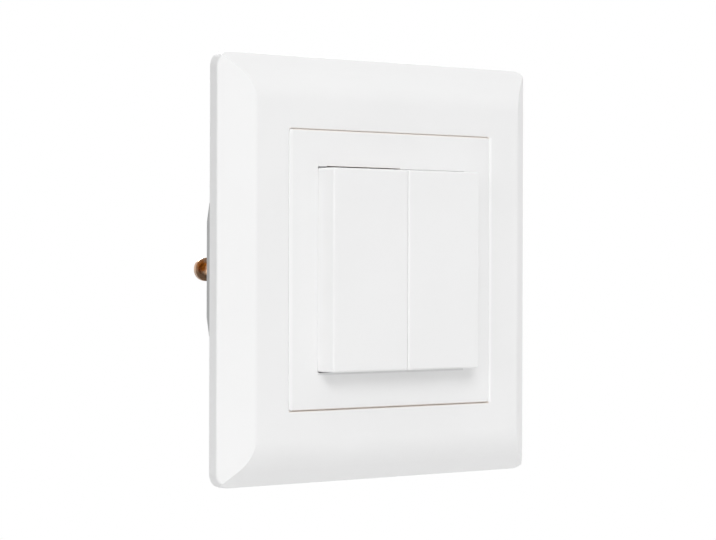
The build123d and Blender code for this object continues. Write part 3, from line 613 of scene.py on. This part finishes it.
def coil_mesh(low, high):
    """A round wire wound about the Y axis between the ends of a box."""
    centre = (low + high) / 2
    radius = (high.x - low.x) / 2 - WIRE_RADIUS
    start, end = low.y + WIRE_RADIUS, high.y - WIRE_RADIUS
    lengthwise = Vector((0, 1, 0))
    mesh = bmesh.new()
    rings = []
    count = int(COIL_TURNS * COIL_STEPS)
    for step in range(count + 1):
        share = step / count
        angle = FULL_TURN * COIL_TURNS * share
        outward = Vector((math.cos(angle), 0, math.sin(angle)))
        middle = Vector((centre.x, start + (end - start) * share, centre.z)) + outward * radius
        points = []
        for turn in range(WIRE_STEPS):
            around = FULL_TURN * turn / WIRE_STEPS
            offset = outward * math.cos(around) + lengthwise * math.sin(around)
            points.append(mesh.verts.new(middle + offset * WIRE_RADIUS))
        rings.append(points)
    skin(mesh, rings)
    return mesh


def make_springs():
    """The coil that pushes each plunger back."""
    for side in SIDES:
        low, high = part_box(f"{side}_return_spring")
        spring = mesh_piece(
            f"{side}_return_coil", coil_mesh(low, high), "spring_steel", "base", f"{side}_return_spring"
        )
        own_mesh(spring)


def make_lip(name, key_side, outward, window_gap, lip_gap, ends, upright):
    """A thin chamfered strip from the window's wall towards a key, along Z if upright or else along X."""
    wall = key_side + outward * window_gap
    edge = key_side + outward * lip_gap
    front = bezel_low.y + LIP_SET_BACK
    section = (
        (wall, front),
        (edge + outward * LIP_CHAMFER, front),
        (edge, front + LIP_CHAMFER),
        (edge, front + LIP_DEPTH),
        (wall, front + LIP_DEPTH),
    )
    mesh = bmesh.new()
    rings = []
    for end in ends:
        points = [(across, depth, end) if upright else (end, depth, across) for across, depth in section]
        rings.append([mesh.verts.new(point) for point in points])
    skin(mesh, rings)
    mesh_piece(name, mesh, "white_plastic", "base")


def make_lips():
    """The lips at both sides of the window, above the right key and above the left end of the left key."""
    side_ends = (key_low.z + SIDE_LIP_END, key_high.z - SIDE_LIP_END)
    make_lip("left_window_lip", -key_high.x, -1, SIDE_GAP, SIDE_LIP_GAP, side_ends, upright=True)
    make_lip("right_window_lip", key_high.x, 1, SIDE_GAP, SIDE_LIP_GAP, side_ends, upright=True)
    right_ends = (OPEN_GAP_END, key_high.x - TOP_LIP_END)
    make_lip("right_upper_lip", key_high.z, 1, TOP_GAP, RIGHT_TOP_LIP_GAP, right_ends, upright=False)
    left_ends = (TOP_LIP_END - key_high.x, OPEN_GAP_START)
    make_lip("left_upper_lip", key_high.z, 1, TOP_GAP, LEFT_TOP_LIP_GAP, left_ends, upright=False)


def seen_directly(tree):
    """1 for camera, glossy and transmission rays, and 0 for light that bounces."""
    path = tree.nodes.new("ShaderNodeLightPath")
    total = path.outputs["Is Camera Ray"]
    for name in ("Is Glossy Ray", "Is Transmission Ray"):
        total = maths(tree, "MAXIMUM", total, path.outputs[name])
    return total


def make_world():
    """Soft light from all round, stronger from the front, seen as plain white."""
    world = bpy.data.worlds.new("studio")
    scene.world = world
    world.use_nodes = True
    tree = world.node_tree
    soft = tree.nodes["Background"]
    soft.inputs["Color"].default_value = WHITE
    _, y, _ = coordinates(tree, "Generated")
    level = ranged(tree, y, -WORLD_TURN, WORLD_TURN, WORLD_FRONT, WORLD_REAR)
    tree.links.new(level, soft.inputs["Strength"])
    white = add_node(tree, "ShaderNodeBackground", Color=WHITE, Strength=WHITE_STRENGTH)
    shown = mix_shaders(tree, seen_directly(tree), soft.outputs["Background"], white.outputs["Background"])
    tree.links.new(shown, tree.nodes["World Output"].inputs["Surface"])


def floor_material():
    """Pale matt paint that fades into the white round it, where it is seen directly."""
    material, tree, shader = node_material("pale_floor")
    shader.inputs["Roughness"].default_value = FLOOR_ROUGHNESS
    shader.inputs["Specular IOR Level"].default_value = FLOOR_SPECULAR
    seen = seen_directly(tree)
    tree.links.new(mix_colours(tree, seen, FLOOR_COLOUR, FLOOR_SHOWN_COLOUR), shader.inputs["Base Color"])
    place = tree.nodes.new("ShaderNodeTexCoord")
    length = tree.nodes.new("ShaderNodeVectorMath")
    length.operation = "LENGTH"
    tree.links.new(place.outputs["Object"], length.inputs[0])
    fade = ranged(tree, length.outputs["Value"], FLOOR_FADE_START, FLOOR_FADE_END)
    white = add_node(tree, "ShaderNodeEmission", Color=WHITE, Strength=WHITE_STRENGTH)
    faded = maths(tree, "MULTIPLY", fade, seen)
    shown = mix_shaders(tree, faded, shader.outputs["BSDF"], white.outputs["Emission"])
    tree.links.new(shown, tree.nodes["Material Output"].inputs["Surface"])
    return material


def make_floor():
    """A round floor below the switch that takes its shadow."""
    shape = bmesh.new()
    bmesh.ops.create_circle(shape, cap_ends=True, segments=FLOOR_SEGMENTS, radius=FLOOR_RADIUS)
    data = bpy.data.meshes.new("floor")
    shape.to_mesh(data)
    shape.free()
    floor = bpy.data.objects.new("floor", data)
    floor.location = (0, 0, cad_low.z - FLOOR_DROP)
    scene.collection.objects.link(floor)
    data.materials.append(floor_material())


def make_lamps():
    """Large soft lamps, all turned to the middle of the switch."""
    for name, lamp in LAMPS.items():
        light = bpy.data.lights.new(name, "AREA")
        light.shape = "DISK"
        light.size = lamp["size"]
        light.energy = lamp["power"]
        holder = bpy.data.objects.new(name, light)
        holder.location = lamp["place"]
        holder.rotation_mode = "QUATERNION"
        holder.rotation_quaternion = (-Vector(lamp["place"])).to_track_quat("-Z", "Y")
        holder.visible_camera = False
        scene.collection.objects.link(holder)


def make_camera():
    """The photograph's camera, to the left of the switch and level with it."""
    angles = (CAMERA_YAW_DEG, CAMERA_PITCH_DEG, CAMERA_ROLL_DEG)
    yaw, pitch, roll = (math.radians(angle) for angle in angles)
    ahead = Vector((math.sin(yaw) * math.cos(pitch), math.cos(yaw) * math.cos(pitch), -math.sin(pitch)))
    level_right = Vector((math.cos(yaw), -math.sin(yaw), 0))
    level_up = level_right.cross(ahead)
    right = level_right * math.cos(roll) + level_up * math.sin(roll)
    up = level_up * math.cos(roll) - level_right * math.sin(roll)
    camera = bpy.data.cameras.new("camera")
    camera.sensor_width = SENSOR_WIDTH
    camera.lens = FOCAL_PIXELS / IMAGE_WIDTH * SENSOR_WIDTH
    camera.clip_start = CAMERA_DISTANCE / CLIP_RATIO
    camera.clip_end = CAMERA_DISTANCE * CLIP_RATIO
    holder = bpy.data.objects.new("camera", camera)
    turn = Matrix((right, up, -ahead)).transposed().to_4x4()
    place = -ahead * CAMERA_DISTANCE + right * CAMERA_ASIDE + up * CAMERA_ABOVE
    holder.matrix_world = Matrix.Translation(place) @ turn
    scene.collection.objects.link(holder)
    scene.camera = holder


make_claw_screws()
make_housing_screws()
make_springs()
make_lips()
make_world()
make_floor()
make_lamps()
make_camera()
